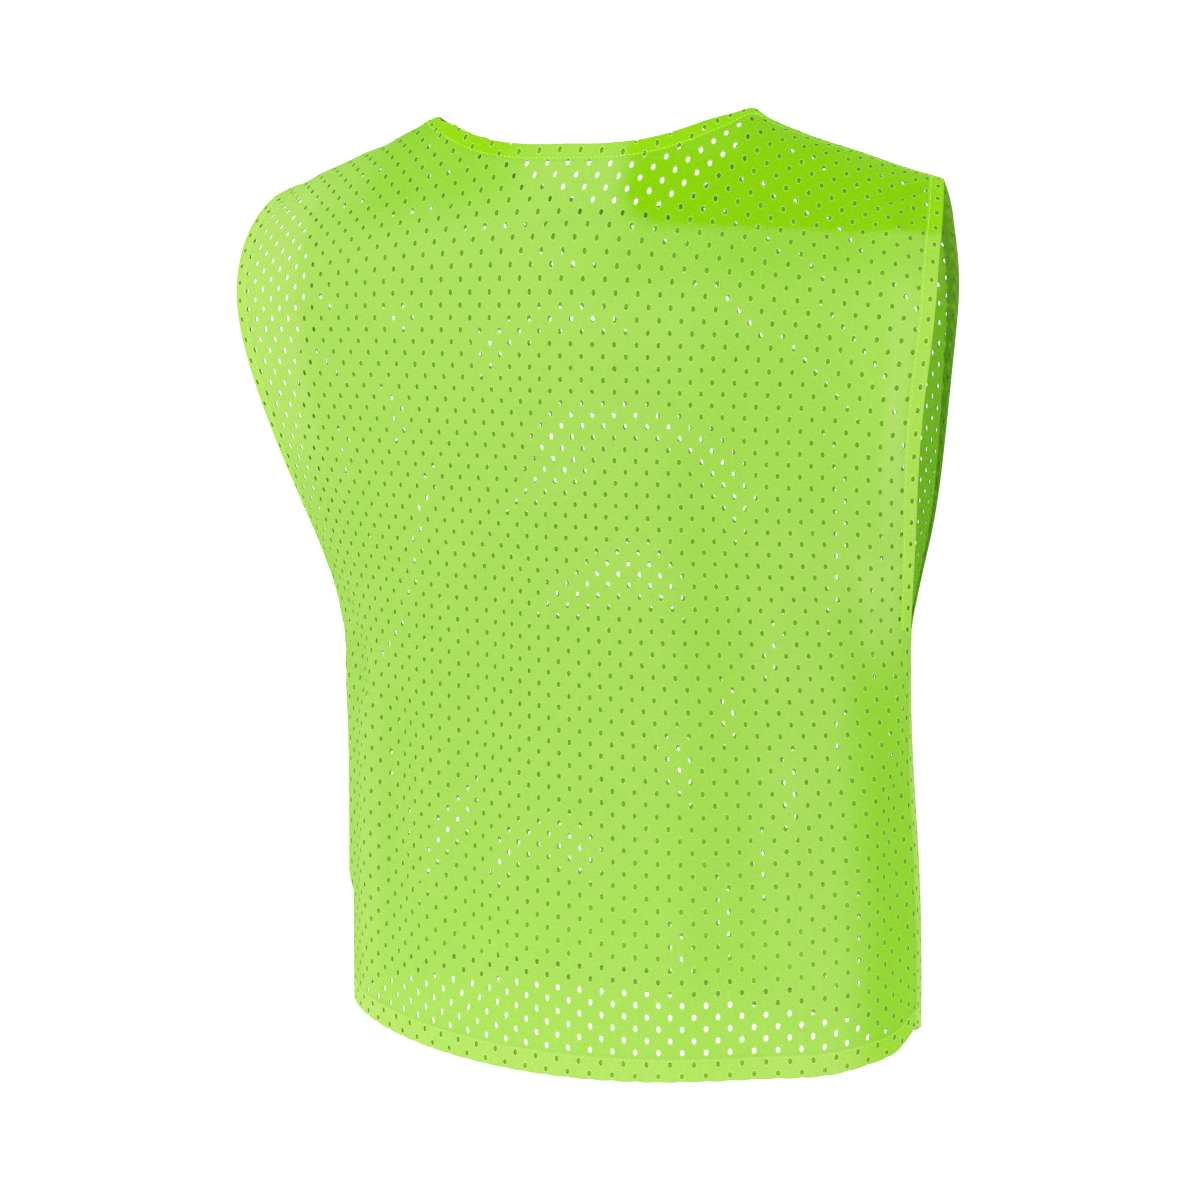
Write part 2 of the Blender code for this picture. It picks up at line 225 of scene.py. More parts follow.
def sectionCurve(section):
    bend = math.radians(section.bend)
    turn = np.linspace(0, bend, cloth["arcSteps"] + 1)
    sideways = np.sin(turn) / math.sin(bend)
    inward = (np.cos(turn) - math.cos(bend)) / (1 - math.cos(bend))
    peak = section.peak
    fall = (np.hypot(peak, sideways) - peak) / (math.hypot(peak, 1) - peak)
    points = np.stack(
        [
            section.edgeX * sideways,
            section.edgeY + (section.centreY - section.edgeY) * inward,
            section.centreZ + (section.edgeZ - section.centreZ) * fall,
        ],
        axis=1,
    )
    steps = np.linalg.norm(np.diff(points, axis=0), axis=1)
    return points, np.concatenate([[0], np.cumsum(steps)])


def alongSection(section, across):
    points, run = sectionCurve(section)
    at = np.abs(across) * run[-1]
    found = np.stack([np.interp(at, run, points[:, axis]) for axis in range(3)], axis=1)
    past = np.clip(np.abs(across) - 1, 0, None)[:, None] * run[-1]
    found += past * (points[-1] - points[-2]) / (run[-1] - run[-2])
    found[:, 0] *= np.sign(across)
    return found


def sectionHeights(sections):
    places = np.array([alongSection(section, np.array([0, 0.5, 1.0])) for section in sections])
    steps = np.linalg.norm(np.diff(places, axis=0), axis=2).mean(axis=1)
    return np.concatenate([[0], np.cumsum(steps)])


def splineShares(knots, at):
    # share of each knot in a natural cubic spline at the places at
    count = len(knots)
    gaps = np.diff(knots)
    matrix = np.eye(count)
    bends = np.zeros((count, count))
    for i in range(1, count - 1):
        matrix[i, i - 1 : i + 2] = gaps[i - 1], 2 * (gaps[i - 1] + gaps[i]), gaps[i]
        bends[i, i - 1 : i + 2] = 6 / gaps[i - 1], -6 / gaps[i - 1] - 6 / gaps[i], 6 / gaps[i]
    curvature = np.linalg.solve(matrix, bends)
    values = np.eye(count)
    low = np.clip(np.searchsorted(knots, at, side="right") - 1, 0, count - 2)
    gap = gaps[low][:, None]
    after = (at - knots[low])[:, None]
    before = gap - after
    shares = curvature[low] * (before**3 / (6 * gap) - before * gap / 6)
    shares += curvature[low + 1] * (after**3 / (6 * gap) - after * gap / 6)
    return shares + values[low] * before / gap + values[low + 1] * after / gap


def panelHeight(panel):
    return sectionHeights(panel.sections)[-1]


def underarmUp(panel):
    return sectionHeights(panel.sections)[cut["underarmSection"]]


def smoothCloth(panel, across, up):
    heights = sectionHeights(panel.sections)
    curves = np.array([alongSection(section, across) for section in panel.sections])
    points = np.einsum("nk,knc->nc", splineShares(heights, up), curves)
    side = np.array([alongSection(section, np.sign(across)) for section in panel.sections])
    ownEdge = np.einsum("nk,knc->nc", splineShares(heights, up), side)
    seam = slice(0, cut["underarmSection"] + 1)
    sharedEdge = np.einsum("nk,knc->nc", splineShares(heights[seam], up), side[seam])
    below = up < heights[cut["underarmSection"]]
    drawn = np.where(below, np.minimum(np.abs(across), 1) ** cut["seamPull"], 0)
    return points + drawn[:, None] * (sharedEdge - ownEdge)


def slopes(panel, across, up):
    step = cloth["slopeStep"]
    wide = step / cut["halfWidth"]
    sideways = smoothCloth(panel, across + wide, up) - smoothCloth(panel, across - wide, up)
    upwards = smoothCloth(panel, across, up + step) - smoothCloth(panel, across, up - step)
    return sideways / (2 * step), upwards / (2 * step)


def foldHeight(panel, x, up):
    total = np.zeros(len(x))
    share = np.linspace(0, 1, cloth["foldSteps"] + 1)
    for fold in panel.folds:
        weights = np.stack([(1 - share) ** 2, 2 * share * (1 - share), share**2])
        curveX = np.array([fold.startX, fold.midX, fold.endX]) @ weights
        curveUp = np.array([fold.startUp, fold.midUp, fold.endUp]) @ weights
        steps = np.hypot(np.diff(curveX), np.diff(curveUp))
        nearest, distance = nearestOnCurve(x, up, curveX, curveUp)
        ends = 1 - nearest if fold.endUp < cut["seamFade"] else 2 * np.sqrt(nearest * (1 - nearest))
        total += fold.height * np.minimum(1, ends * 2) * np.exp(-((distance / fold.reach) ** 2))
    toSide = (1 - np.abs(x) / cut["halfWidth"]) * cut["halfWidth"]
    toTop = panelHeight(panel) - up
    fade = np.clip(toSide / cut["seamFade"], 0, 1) * np.clip(toTop / cut["seamFade"], 0, 1)
    return total * fade * fade * (3 - 2 * fade)


def nearestOnCurve(x, up, curveX, curveUp):
    # how far along the curve, from 0 to 1, the nearest place lies, and its distance
    best = np.full(len(x), np.inf)
    where = np.zeros(len(x))
    count = len(curveX) - 1
    for i in range(count):
        runX = curveX[i + 1] - curveX[i]
        runUp = curveUp[i + 1] - curveUp[i]
        share = ((x - curveX[i]) * runX + (up - curveUp[i]) * runUp) / (runX**2 + runUp**2)
        share = np.clip(share, 0, 1)
        away = np.hypot(x - curveX[i] - share * runX, up - curveUp[i] - share * runUp)
        closer = away < best
        best[closer] = away[closer]
        where[closer] = (i + share[closer]) / count
    return where, best


def smoothStep(value):
    value = np.clip(value, 0, 1)
    return value * value * (3 - 2 * value)


def sumOfPulls(panel, pulls, x):
    total = np.zeros(len(x))
    for one in pulls:
        wide = one.backWide if panel is back else one.frontWide
        total += one.rise * np.exp(-(((x - one.x) / wide) ** 2))
    return total


def seamPull(panel, x, up):
    # how far the sewn edges lift the cloth at a flat place
    belowShoulder = panelHeight(panel) - up
    columns = np.cos(2 * math.pi * (x / knit["pitch"] - knit["start"]))
    notch = pull["notch"] * np.clip(columns, 0, 1)
    return (
        sumOfPulls(panel, shoulderPulls, x) * smoothStep(1 - belowShoulder / pull["fromShoulder"])
        + sumOfPulls(panel, hemPulls, x) * smoothStep(1 - up / pull["fromHem"])
        + notch * smoothStep(1 - up / pull["notchReach"])
    )


def lean(points):
    leaned = points.copy()
    leaned[:, 2] += cut["sideLean"] * points[:, 0]
    return leaned


def placeOnPanel(panel, x, up, depth=0.0, beyond=None, beyondX=0.0, beyondUp=0.0):
    # where a point of the flat cut hangs: depth is how far inside the outer face it lies,
    # and beyond how far past the edge, in the flat direction beyondX, beyondUp
    across = x / cut["halfWidth"]
    points = smoothCloth(panel, across, up)
    sideways, upwards = slopes(panel, across, up)
    normals = np.cross(upwards, sideways) * panel.facing
    normals /= np.linalg.norm(normals, axis=1)[:, None]
    points += normals * (foldHeight(panel, x, up) - depth)[:, None]
    if beyond is not None:
        away = sideways * np.reshape(beyondX, (-1, 1)) + upwards * np.reshape(beyondUp, (-1, 1))
        away /= np.linalg.norm(away, axis=1)[:, None]
        points += away * beyond[:, None]
    points[:, 2] += seamPull(panel, x, up)
    return lean(points)


# the knit: one cell with its hole, repeated over the flat cut and trimmed along its outline


def knitCells(lowX, highX, lowUp, highUp):
    pitch = knit["pitch"]
    start = knit["start"]
    turn = np.arange(knit["holeSides"]) * 2 * math.pi / knit["holeSides"]
    ring = np.stack([np.cos(turn), np.sin(turn)], axis=1)
    hole = ring * (knit["holeWidth"] / 2, knit["holeHeight"] / 2)
    corner = pitch / 2
    diamond = ring * (corner / np.abs(ring).sum(axis=1))[:, None]
    columns, rows = [
        (np.arange(math.floor(low / pitch) - 1, math.ceil(high / pitch) + 2) + start) * pitch
        for low, high in ((lowX, highX), (lowUp, highUp))
    ]
    centres = [(x + shift, up + shift) for shift in (0, corner) for up in rows for x in columns]
    centres = np.array([c for c in centres if lowX - corner < c[0] < highX + corner])
    keep = (centres[:, 1] > lowUp - corner) & (centres[:, 1] < highUp + corner)
    centres = centres[keep]
    points = np.concatenate([centres[:, None] + hole, centres[:, None] + diamond], axis=1)
    sides = knit["holeSides"]
    near = np.arange(sides)
    far = (near + 1) % sides
    quads = np.stack([near, near + sides, far + sides, far], axis=1)
    faces = quads[None] + (np.arange(len(centres)) * 2 * sides)[:, None, None]
    micrometres = np.round(points.reshape(-1, 2) * 1e6).astype(np.int64)
    first, inverse = np.unique(micrometres, axis=0, return_index=True, return_inverse=True)[1:]
    return points.reshape(-1, 2)[first], inverse.reshape(-1)[faces.reshape(-1, 4)]


def flatSheet(lowX, highX, lowUp, highUp):
    points, faces = knitCells(lowX, highX, lowUp, highUp)
    sheet = bmesh.new()
    verts = [sheet.verts.new((x, up, 0)) for x, up in points]
    for face in faces:
        sheet.faces.new([verts[i] for i in face])
    return sheet


def score(sheet, signed):
    # lays edges of the flat sheet along the line where signed is zero; gives signed at each vert
    verts = list(sheet.verts)
    flat = np.array([vert.co[:2] for vert in verts])
    side = dict(zip(verts, signed(flat[:, 0], flat[:, 1])))
    for vert in verts:
        if abs(side[vert]) < cloth["snap"]:
            side[vert] = 0.0
    for edge in list(sheet.edges):
        a, b = edge.verts
        if side[a] * side[b] < 0:
            added = bmesh.utils.edge_split(edge, a, side[a] / (side[a] - side[b]))[1]
            side[added] = 0.0
    for face in list(sheet.faces):
        values = [side[vert] for vert in face.verts]
        if max(values) > 0 > min(values):
            onLine = [vert for vert in face.verts if side[vert] == 0.0]
            if len(onLine) == 2:
                bmesh.utils.face_split(face, onLine[0], onLine[1])
    return side


def trim(sheet, signed):
    # keeps the part of the flat sheet where signed is above zero
    side = score(sheet, signed)
    outside = [face for face in sheet.faces if sum(side[vert] for vert in face.verts) < 0]
    bmesh.ops.delete(sheet, geom=outside, context="FACES")
    loose = [vert for vert in sheet.verts if not vert.link_faces]
    bmesh.ops.delete(sheet, geom=loose, context="VERTS")


def addAttribute(data, name, domain, values):
    attribute = data.attributes.new(name, "FLOAT", domain)
    attribute.data.foreach_set("value", values)


def finishSheet(panel, name, sheet, place, materials, paintedLightAndShade, bands=()):
    # hangs a flat sheet by its place function, keeps its flat lie as a UV map and makes it thick
    for band in bands:
        score(sheet, band.signed)
    if panel.facing > 0:
        bmesh.ops.reverse_faces(sheet, faces=sheet.faces)
    flat = np.array([vert.co[:2] for vert in sheet.verts])
    hung = place(flat[:, 0], flat[:, 1])
    layer = sheet.loops.layers.uv.new("flatCut")
    for face in sheet.faces:
        for loop in face.loops:
            loop[layer].uv = loop.vert.co[:2]
    for vert, point in zip(sheet.verts, hung):
        vert.co = point
    data = bpy.data.meshes.new(name)
    sheet.to_mesh(data)
    sheet.free()
    middles = np.array([flat[list(face.vertices)].mean(axis=0) for face in data.polygons])
    backed = np.zeros(len(middles))
    deeper = np.zeros(len(middles))
    for band in bands:
        inBand = band.signed(middles[:, 0], middles[:, 1]) > 0
        backed[inBand] = 1
        deeper += inBand * band.deeper
    addAttribute(data, "paintedLightAndShade", "POINT", paintedLightAndShade(flat[:, 0], flat[:, 1]))
    addAttribute(data, "backed", "FACE", backed)
    addAttribute(data, "deeper", "FACE", deeper)
    piece = bpy.data.objects.new(name, data)
    bpy.context.scene.collection.objects.link(piece)
    for material in materials:
        data.materials.append(material)
    data.shade_smooth()
    shell = piece.modifiers.new("thickness", "SOLIDIFY")
    shell.thickness = cloth["thick"]
    shell.offset = 0
    shell.use_rim = True
    shell.material_offset = 1
    shell.material_offset_rim = 2
    applyModifiers(piece)
    piece.data.shade_smooth()
    piece.data.set_sharp_from_angle(angle=math.radians(cloth["sharpAngle"]))
    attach(piece, "root")
    return piece


def applyModifiers(piece):
    bpy.ops.object.select_all(action="DESELECT")
    bpy.context.view_layer.objects.active = piece
    piece.select_set(True)
    for modifier in list(piece.modifiers):
        bpy.ops.object.modifier_apply(modifier=modifier.name)
    piece.select_set(False)


# materials


def colour(hexValue):
    channels = [int(hexValue[i : i + 2], 16) / 255 for i in (1, 3, 5)]
    return [c / 12.92 if c <= 0.04045 else ((c + 0.055) / 1.055) ** 2.4 for c in channels] + [1]


def addNode(tree, kind, settings=None, links=None):
    node = tree.nodes.new(kind)
    for name, value in (settings or {}).items():
        if isinstance(name, str) and hasattr(node, name) and name not in node.inputs:
            setattr(node, name, value)
        else:
            node.inputs[name].default_value = value
    for name, source in (links or {}).items():
        tree.links.new(source, node.inputs[name])
    return node


def joinMath(tree, operation, first, second, settings=None):
    settings = dict(settings or {}, operation=operation)
    return addNode(tree, "ShaderNodeMath", settings, {0: first, 1: second}).outputs[0]


def holeDistance(tree, flat):
    # distance from the nearest hole's middle, 1 at the hole's rim
    pitch = knit["pitch"]
    oval = (pitch / (knit["holeWidth"] / 2), pitch / (knit["holeHeight"] / 2), 0)
    rings = []
    for shift in (0.5 - knit["start"], -knit["start"]):
        steps = [
            {"operation": "MULTIPLY_ADD", 1: (1 / pitch, 1 / pitch, 0), 2: (shift, shift, 0)},
            {"operation": "FRACTION"},
            {"operation": "SUBTRACT", 1: (0.5, 0.5, 0)},
            {"operation": "MULTIPLY", 1: oval},
        ]
        place = flat
        for step in steps:
            place = addNode(tree, "ShaderNodeVectorMath", step, {0: place}).outputs[0]
        length = addNode(tree, "ShaderNodeVectorMath", {"operation": "LENGTH"}, {0: place})
        rings.append(length.outputs["Value"])
    return joinMath(tree, "MINIMUM", *rings)


def knitBump(tree, flat, lip, look):
    # crossed rows of loops, and the lip round each hole standing a little proud
    bands = [
        addNode(
            tree, "ShaderNodeTexWave",
            {"wave_type": "BANDS", "bands_direction": way, "Scale": look["loopScale"],
             "Distortion": look["loopWander"], "Detail": look["loopDetail"],
             "Detail Scale": look["loopDetailScale"]},
            {"Vector": flat},
        ).outputs["Fac"]
        for way in ("X", "Y")
    ]
    relief = addNode(
        tree, "ShaderNodeMath", {"operation": "MULTIPLY_ADD", 1: look["lipRise"]},
        {0: lip, 2: joinMath(tree, "MULTIPLY", *bands)},
    )
    return addNode(
        tree, "ShaderNodeBump", {"Strength": look["bump"], "Distance": look["loopHeight"]},
        {"Height": relief.outputs[0]},
    ).outputs[0]


def knitColour(tree, flat, lip, look):
    # from pale to deep by the painted light and shade and the painted hem shade, a little uneven,
    # with a painted highlight on the lips
    broad = addNode(
        tree, "ShaderNodeTexNoise", {"Scale": look["cloudScale"], "Detail": look["cloudDetail"]},
        {"Vector": flat},
    )
    uneven = addNode(
        tree, "ShaderNodeMath",
        {"operation": "MULTIPLY_ADD", 1: look["uneven"], 2: -look["uneven"] / 2},
        {0: broad.outputs["Fac"]},
    )
    painted, deeper = [
        addNode(tree, "ShaderNodeAttribute", {"attribute_name": name}).outputs["Fac"]
        for name in ("paintedLightAndShade", "deeper")
    ]
    # the random unevenness is added to the painted hem shade
    deeper = joinMath(tree, "ADD", deeper, uneven.outputs[0])
    depth = joinMath(tree, "ADD", painted, deeper, {"use_clamp": True})
    shade = addNode(
        tree, "ShaderNodeMix",
        {"data_type": "RGBA", 6: colour(look["pale"]), 7: colour(look["deep"])}, {0: depth},
    )
    paintedLipHighlight = addNode(
        tree, "ShaderNodeMath", {"operation": "MULTIPLY", 1: look["lipHighlightShare"]}, {0: lip}
    )
    return addNode(
        tree, "ShaderNodeMix",
        {"data_type": "RGBA", 7: colour(look["lip"])}, {0: paintedLipHighlight.outputs[0], 6: shade.outputs[2]},
    ).outputs[2]


def knitMaterial(name, look):
    # polyester warp knit: matt, lets light through, with a soft lip pressed round each hole
    # that carries a painted highlight
    material = bpy.data.materials.new(name)
    material.use_nodes = True
    tree = material.node_tree
    tree.nodes.clear()
    flat = addNode(tree, "ShaderNodeUVMap", {"uv_map": "flatCut"}).outputs[0]
    lip = addNode(
        tree, "ShaderNodeMapRange",
        {"interpolation_type": "SMOOTHSTEP", "From Min": 1.0, "From Max": look["lipReach"],
         "To Min": 1.0, "To Max": 0.0},
        {"Value": holeDistance(tree, flat)},
    ).outputs[0]
    tint = knitColour(tree, flat, lip, look)
    bump = knitBump(tree, flat, lip, look)
    surface = addNode(
        tree, "ShaderNodeBsdfPrincipled",
        {"Roughness": look["roughness"], "Specular IOR Level": look["gloss"]},
        {"Base Color": tint, "Normal": bump},
    )
    light = addNode(
        tree, "ShaderNodeMix",
        {"data_type": "RGBA", 0: look["throughWhite"], 7: (1, 1, 1, 1)}, {6: tint},
    )
    through = addNode(
        tree, "ShaderNodeBsdfTranslucent", {}, {"Color": light.outputs[2], "Normal": bump}
    )
    backed = addNode(tree, "ShaderNodeAttribute", {"attribute_name": "backed"})
    lost = (look["backed"] - 1) * look["seeThrough"]
    share = addNode(
        tree, "ShaderNodeMath", {"operation": "MULTIPLY_ADD", 1: lost, 2: look["seeThrough"]},
        {0: backed.outputs["Fac"]},
    )
    mixed = addNode(
        tree, "ShaderNodeMixShader", {},
        {0: share.outputs[0], 1: surface.outputs[0], 2: through.outputs[0]},
    )
    addNode(tree, "ShaderNodeOutputMaterial", {}, {"Surface": mixed.outputs[0]})
    return material


def threadMaterial(name, look):
    # twisted polyester thread: the same lime, smoother and a little shinier than the knit
    material = bpy.data.materials.new(name)
    material.use_nodes = True
    tree = material.node_tree
    shader = tree.nodes["Principled BSDF"]
    place = addNode(tree, "ShaderNodeTexCoord")
    twist = addNode(
        tree, "ShaderNodeTexWave", {"bands_direction": "DIAGONAL", "Scale": look["twistScale"]},
        {"Vector": place.outputs["Object"]},
    ).outputs["Fac"]
    shade = addNode(
        tree, "ShaderNodeMix",
        {"data_type": "RGBA", 6: colour(look["deep"]), 7: colour(look["pale"])}, {0: twist},
    )
    bump = addNode(
        tree, "ShaderNodeBump", {"Strength": look["bump"], "Distance": look["twistHeight"]},
        {"Height": twist},
    )
    shader.inputs["Roughness"].default_value = look["roughness"]
    shader.inputs["Specular IOR Level"].default_value = look["gloss"]
    tree.links.new(shade.outputs[2], shader.inputs["Base Color"])
    tree.links.new(bump.outputs[0], shader.inputs["Normal"])
    return material


panelLook = {
    # pale is the knit with painted sheen and light in it; deep is the knit's colour without them,
    # as in shade
    "pale": "#CCE984",
    "deep": "#99DC00",
    # lip is the colour of the painted highlight on the lip round each hole
    "lip": "#E4FF8C",
    "loopScale": 230.0,  # a loop each 1.4 mm, coarser than the real 0.8 mm so that it shows
    "loopWander": 2.5,
    "loopDetail": 2.0,
    "loopDetailScale": 3.0,
    "loopHeight": 0.0004,
    "cloudScale": 22.0,
    "cloudDetail": 4.0,
    "uneven": 0.16,
    "lipHighlightShare": 0.60,
    "lipReach": 1.5,
    "lipRise": 1.2,
    "bump": 0.22,
    "roughness": 0.7,
    "gloss": 0.08,
    "seeThrough": 0.45,
    "throughWhite": 0.0,
    "backed": 0.65,  # share of the see-through left where a turned hem lies behind
}
threadLook = {
    "pale": "#C8F27C",
    "deep": "#9CDE30",
    "twistScale": 900.0,  # a twist each 0.35 mm
    "twistHeight": 0.0001,
    "bump": 0.4,
    "roughness": 0.45,
    "gloss": 0.3,
}
# the inside face of the knit: a copy of the knit in painted shade, deeper, with no painted
# highlight
shadedInnerLook = dict(
    panelLook, pale="#ACDC28", deep="#8ED000", lipHighlightShare=0.0, seeThrough=0.6, throughWhite=0.3
)
hemLook = dict(panelLook, deep="#A4D800", seeThrough=0.6)
# the walls of the holes: a dark copy of the knit in painted shade, with no painted highlight
shadedWallLook = dict(panelLook, pale="#78B41E", deep="#509000", lipHighlightShare=0.0, seeThrough=0.3)
panelKnit = knitMaterial("limePolyesterMeshKnit", panelLook)
shadedInnerKnit = knitMaterial("insideOfMeshKnit", shadedInnerLook)
hemKnit = knitMaterial("turnedPolyesterMeshKnit", hemLook)
shadedWallKnit = knitMaterial("holeEdgeOfMeshKnit", shadedWallLook)
thread = threadMaterial("limePolyesterThread", threadLook)
print("materials made")


# painted light and shade over a panel, 0 pale with painted sheen and light to 1 deep in painted
# shade: soft patches, at x and up on the flat, that tilt down by their tilt for each metre across

plainPaintedLightAndShade = 0.40
shadeCorner = 6  # 2 makes the patches oval, more makes them squarer
Shade = namedtuple("Shade", "x up wide high tilt soft change")
# painted shade on the shoulders and the lower right side; a change below zero is painted light: the
# pale bands by the right armhole and on the left side
backShades = [
    Shade(-0.158, 0.632, 0.113, 0.0770, 0.12, 0.08, 0.54),  # right shoulder
    Shade(-0.150, 0.556, 0.110, 0.034, 0.12, 0.50, 0.20),
    Shade(-0.175, 0.490, 0.060, 0.110, 0.00, 0.60, 0.12),
    Shade(0.095, 0.608, 0.060, 0.050, 0.00, 0.50, 0.36),  # left shoulder
    Shade(0.170, 0.625, 0.060, 0.022, 0.00, 0.50, 0.10),
    Shade(-0.250, 0.110, 0.050, 0.170, 0.00, 0.40, 0.42),  # lower right side
    Shade(-0.111, 0.230, 0.026, 0.210, 0.00, 0.50, 0.09),
    Shade(0.166, 0.115, 0.014, 0.140, 0.00, 0.40, -0.12),
    Shade(-0.237, 0.440, 0.007, 0.070, 0.00, 0.70, -0.24),
    Shade(-0.228, 0.305, 0.014, 0.032, 0.00, 0.45, -0.20),
    Shade(0.225, 0.500, 0.028, 0.110, 0.00, 0.20, -0.16),  # left armhole side
]
# painted shade on the front's shoulders and on two patches low on the front
frontShades = [
    Shade(0.165, 0.630, 0.120, 0.072, 0.00, 0.30, 0.32),
    Shade(-0.165, 0.630, 0.120, 0.072, 0.00, 0.30, 0.32),
    Shade(0.100, 0.200, 0.040, 0.180, 0.00, 0.40, 0.10),
    Shade(-0.090, 0.180, 0.030, 0.160, 0.00, 0.40, 0.10),
]


def paintedLightAndShadeFrom(shades):
    def depth(x, up):
        total = np.full(len(x), plainPaintedLightAndShade)
        for shade in shades:
            aside = np.abs(x - shade.x) / shade.wide
            above = np.abs(up - shade.up + shade.tilt * (x - shade.x)) / shade.high
            away = (aside**shadeCorner + above**shadeCorner) ** (1 / shadeCorner)
            total += shade.change * smoothStep((1 + shade.soft - away) / (2 * shade.soft))
        return total
    return depth


# panels


def neckTop(panel, x):
    inside = np.abs(x) / cut["neckHalfWidth"]
    return panelHeight(panel) - panel.drop * (1 - inside**panel.power)


def sideEdge(panel, side):
    wide = cut["halfWidth"]

    def toEdge(x, up):
        plain = np.ones(len(x))
        return plain * side * wide, up, plain * side, plain * 0, x * side - wide
    return toEdge


def bottomEdge(x, up):
    plain = np.ones(len(x))
    return x, plain * 0, plain * 0, -plain, -up


def neckEdge(panel):
    curveX = np.linspace(-1, 1, cut["neckSteps"]) * cut["neckHalfWidth"] * cut["pastNeck"]
    curveUp = neckTop(panel, curveX)
    slope = np.gradient(curveUp, curveX)
    awayX = -slope / np.hypot(1, slope)
    awayUp = 1 / np.hypot(1, slope)

    def toEdge(x, up):
        share, distance = nearestOnCurve(x, up, curveX, curveUp)
        at = share * (len(curveX) - 1)
        step = np.arange(len(curveX))
        along = np.where(up > neckTop(panel, x), distance, -distance)
        found = [np.interp(at, step, values) for values in (curveX, curveUp, awayX, awayUp)]
        return *found, along
    return toEdge


Band = namedtuple("Band", "signed deeper")


def hemBands(panel):
    # where a turned hem lies behind the panel, and how much painted shade it adds to the panel's
    # colour
    wide = cut["halfWidth"]
    low = underarmUp(panel)
    toNeck = neckEdge(panel)
    return [
        Band(lambda x, up: cut["bottomHem"] - up, 0.0),
        Band(lambda x, up: np.minimum(np.abs(x) - wide + cut["armholeHem"], up - low), 0.15),
        Band(lambda x, up: cut["neckHem"] + toNeck(x, up)[4], 0.28),
    ]


def makePanel(panel, shades):
    high = panelHeight(panel)
    wide = cut["halfWidth"]
    sheet = flatSheet(-wide, wide, 0, high)
    trim(sheet, lambda x, up: wide - x)
    trim(sheet, lambda x, up: wide + x)
    trim(sheet, lambda x, up: up)
    trim(sheet, lambda x, up: high - up)
    trim(sheet, lambda x, up: neckTop(panel, x) - up)
    middle = cloth["thick"] / 2
    piece = finishSheet(
        panel, panel.name + "PanelKnit", sheet, lambda x, up: placeOnPanel(panel, x, up, middle),
        (panelKnit, shadedInnerKnit, shadedWallKnit), paintedLightAndShadeFrom(shades), hemBands(panel),
    )
    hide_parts(panel.name + "_panel")
    return piece


backPanel = makePanel(back, backShades)
frontPanel = makePanel(front, frontShades)
print("panels hung", len(backPanel.data.polygons), len(frontPanel.data.polygons))


# turned hems: the cloth past the cut line of a panel, turned on a small bend to lie inside it


def hemBend():
    return (cloth["thick"] + cloth["layerSpace"]) / 2


def hemDepth(along):
    # depth inside the outer face, run past the edge and run back from it, for a place on the turn
    bend = hemBend()
    angle = np.clip(along / bend, 0, math.pi)
    depth = cloth["thick"] / 2 + bend * (1 - np.cos(angle))
    return depth, bend * np.sin(angle), np.clip(along - math.pi * bend, 0, None)


def makeHem(panel, name, node, corners, width, toEdge, limit, depth):
    # toEdge gives, for a flat place past the edge, the nearest place of the edge, the flat
    # direction off the panel there, and how far past it the place lies
    sheet = flatSheet(*corners)
    full = width + math.pi * hemBend()
    trim(sheet, lambda x, up: toEdge(x, up)[4])
    trim(sheet, lambda x, up: full - toEdge(x, up)[4])

    def turnedPlace(x, up):
        edgeX, edgeUp, awayX, awayUp, along = toEdge(x, up)
        inside = hemDepth(along)[2]
        return edgeX - awayX * inside, edgeUp - awayUp * inside

    for side in limit:
        trim(sheet, lambda x, up: side(*turnedPlace(x, up)))

    def place(x, up):
        edgeX, edgeUp, awayX, awayUp, along = toEdge(x, up)
        inward, past, inside = hemDepth(along)
        return placeOnPanel(
            panel, edgeX - awayX * inside, edgeUp - awayUp * inside, inward, past, awayX, awayUp
        )

    # depth here is the hem's painted light and shade, the same all over it
    piece = finishSheet(
        panel, name, sheet, place, (hemKnit, shadedInnerKnit, shadedWallKnit),
        lambda x, up: np.full(len(x), depth),
    )
    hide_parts(node)
    return piece


# painted light and shade of each turned hem, 0 pale to 1 deep: painted shade on the armhole and
# neck hems
turnedHemLightAndShade = {"bottom": 0.35, "armhole": 0.65, "neck": 0.60}  # depth of colour, 0 to 1


def makeHems(panel):
    wide = cut["halfWidth"]
    high = panelHeight(panel)
    low = underarmUp(panel)
    spare = knit["pitch"]
    belowShoulder = lambda x, up: high - up
    pieces = [makeHem(
        panel, panel.name + "BottomHem", panel.name + "_bottom_hem",
        (-wide, wide, -cut["bottomHem"] - spare, 0), cut["bottomHem"], bottomEdge,
        [lambda x, up: wide - x, lambda x, up: wide + x], turnedHemLightAndShade["bottom"],
    )]
    for side, word in ((1, "Left"), (-1, "Right")):
        inner, outer = wide * side, (wide + cut["armholeHem"] + spare) * side
        pieces.append(makeHem(
            panel, panel.name + word + "ArmholeHem", f"{panel.name}_{word.lower()}_armhole_hem",
            (min(inner, outer), max(inner, outer), low, high), cut["armholeHem"],
            sideEdge(panel, side),
            [belowShoulder, lambda x, up: up - low], turnedHemLightAndShade["armhole"],
        ))
    neck = cut["neckHalfWidth"]
    pieces.append(makeHem(
        panel, panel.name + "NeckHem", panel.name + "_neck_hem",
        (-neck, neck, high - panel.drop, high + spare), cut["neckHem"], neckEdge(panel),
        [belowShoulder], turnedHemLightAndShade["neck"],
    ))
    return pieces


backHems = makeHems(back)
frontHems = makeHems(front)
print("hems turned")


# topstitching: one stitch modelled, then laid end to end along each row

